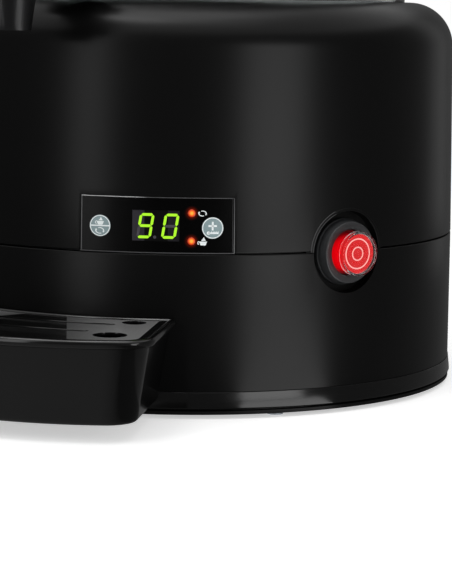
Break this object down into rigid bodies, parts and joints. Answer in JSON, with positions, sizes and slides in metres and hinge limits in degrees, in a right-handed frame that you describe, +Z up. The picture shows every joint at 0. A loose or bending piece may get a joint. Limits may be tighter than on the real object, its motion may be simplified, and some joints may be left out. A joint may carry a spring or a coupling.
{
  "type": "hot chocolate dispenser",
  "caption": "Round counter-top hot chocolate dispenser with heated base, curved control panel, drip tray, clear bowl with agitator and lid, and a lever piston tap.",
  "frame": {"origin": "middle of the bounding box in plan, on the surface that the feet stand on", "axes": "+Z up, -Y towards the user (tap, tray and panel side), +X to the user's right"},
  "size_m": [0.28, 0.3956, 0.4284],
  "materials": {
    "housing_black": "satin moulded",
    "plinth_gloss": "polished",
    "tray_gloss": "polished",
    "plate_dark": "black coat",
    "rubber_black": "matt",
    "screw_steel": "zinc plated",
    "gland_black": "moulded nylon",
    "bracket_zinc": "zinc plated sheet",
    "motor_grey": "grey coat",
    "gear_brass": "hobbed",
    "case_grey": "cast, grey coat",
    "gear_nylon": "moulded nylon",
    "shaft_steel": "ground",
    "bush_bronze": "sintered bronze",
    "stainless": "brushed stainless",
    "element_alloy": "oxidised sheath",
    "ceramic_cream": "ceramic",
    "gasket_dark": "silicone",
    "board_green": "solder mask",
    "spacer_white": "moulded nylon",
    "display_dark": "window",
    "segment_lit": "lit",
    "segment_dark": "unlit",
    "lamp_amber": "lit",
    "overlay_black": "printed film",
    "key_grey": "satin",
    "bezel_dark": "satin",
    "lens_red": "lit lens",
    "cap_clear": "clear plastic",
    "bowl_clear": "clear polycarbonate",
    "tap_black": "satin gloss",
    "piston_white": "acetal",
    "spring_steel": "drawn wire",
    "agitator_white": "food-grade moulded",
    "lid_black": "satin gloss"
  },
  "bodies": {
    "base": {"rubber_feet": "rubber_black", "base_plate": "plate_dark", "plinth_ring": "plinth_gloss", "lower_housing": "housing_black", "upper_housing": "housing_black", "housing_screws": "screw_steel", "cable_gland": "gland_black", "gland_nut": "gland_black", "motor_bracket": "bracket_zinc", "bracket_screws": "screw_steel", "motor": "motor_grey", "gearbox_case": "case_grey", "gearbox_cover": "case_grey", "gearbox_screws": "screw_steel", "shaft_bushes": "bush_bronze", "water_jacket": "stainless", "heating_dish": "stainless", "heating_element": "element_alloy", "element_nuts": "bush_bronze", "safety_thermostat": "ceramic_cream", "temperature_probe": "stainless", "bowl_gasket": "gasket_dark", "supply_board": "board_green", "board_spacers": "spacer_white", "control_board": "board_green", "board_screws": "screw_steel", "display_module": "display_dark", "lit_segments": "segment_lit", "unlit_segments": "segment_dark", "signal_lamps": "lamp_amber", "panel_overlay": "overlay_black", "switch_bezel": "bezel_dark", "switch_nut": "bezel_dark", "switch_body": "bezel_dark"},
    "drive": {"drive_shaft": "shaft_steel", "output_gear": "gear_nylon"},
    "rotor": {"motor_pinion": "gear_brass"},
    "mixer": {"agitator": "agitator_white"},
    "tank": {"bowl": "bowl_clear", "tap_body": "tap_black", "tap_nut": "tap_black", "tap_oring": "gasket_dark", "tap_cap": "tap_black", "pivot_pin": "spring_steel", "tap_spring": "spring_steel"},
    "lever": {"tap_lever": "tap_black", "lever_knob": "tap_black"},
    "plunger": {"tap_piston": "piston_white", "piston_seal": "gasket_dark", "cross_pin": "spring_steel"},
    "cover": {"lid": "lid_black", "lid_seal": "gasket_dark", "lid_knob": "lid_black", "lid_screw": "screw_steel"},
    "tray": {"drip_tray": "tray_gloss"},
    "grid": {"tray_cover": "tray_gloss"},
    "power_button": {"button_lens": "lens_red", "button_cover": "cap_clear"},
    "left_key": {"mode_key": "key_grey"},
    "right_key": {"plus_key": "key_grey"}
  },
  "joints": [
    {"name": "drive_spin", "type": "hinge", "parent": "base", "child": "drive", "pos_m": [0, 0.04143, 0.11], "axis": [0, 0, 1], "continuous": true},
    {"name": "rotor_spin", "type": "hinge", "parent": "base", "child": "rotor", "pos_m": [0, 0.07893, 0.1], "axis": [0, 0, 1], "continuous": true},
    {"name": "mixer_lift", "type": "slide", "parent": "drive", "child": "mixer", "axis": [0, 0, 1], "range_m": [0, 0.06]},
    {"name": "tank_lift", "type": "slide", "parent": "base", "child": "tank", "axis": [0, 0, 1], "range_m": [0, 0.2]},
    {"name": "cover_lift", "type": "slide", "parent": "tank", "child": "cover", "axis": [0, 0, 1], "range_m": [0, 0.08]},
    {"name": "lever_pull", "type": "hinge", "parent": "tank", "child": "lever", "pos_m": [0, -0.15457, 0.255], "axis": [1, 0, 0], "range_deg": [0, 34]},
    {"name": "plunger_lift", "type": "slide", "parent": "tank", "child": "plunger", "axis": [0, 0, 1], "range_m": [0, 0.0108], "stiffness_N_per_m": 120, "springref_m": -0.012, "deforming": ["tap_spring"]},
    {"name": "tray_pull", "type": "slide", "parent": "base", "child": "tray", "axis": [0, -1, 0], "range_m": [0, 0.06]},
    {"name": "grid_lift", "type": "slide", "parent": "tray", "child": "grid", "axis": [0, 0, 1], "range_m": [0, 0.04]},
    {"name": "power_push", "type": "slide", "parent": "base", "child": "power_button", "axis": [-0.859, 0.512, 0], "range_m": [0, 0.003], "stiffness_N_per_m": 400},
    {"name": "left_press", "type": "slide", "parent": "base", "child": "left_key", "axis": [-0.1698, 0.9855, 0], "range_m": [0, 0.0006], "stiffness_N_per_m": 800},
    {"name": "right_press", "type": "slide", "parent": "base", "child": "right_key", "axis": [-0.5169, 0.8561, 0], "range_m": [0, 0.0006], "stiffness_N_per_m": 800}
  ],
  "couplings": [
    {"joint": "rotor_spin", "follows": "drive_spin", "ratio": -4},
    {"joint": "lever_pull", "follows": "plunger_lift", "rad_per_m": 51.546}
  ]
}
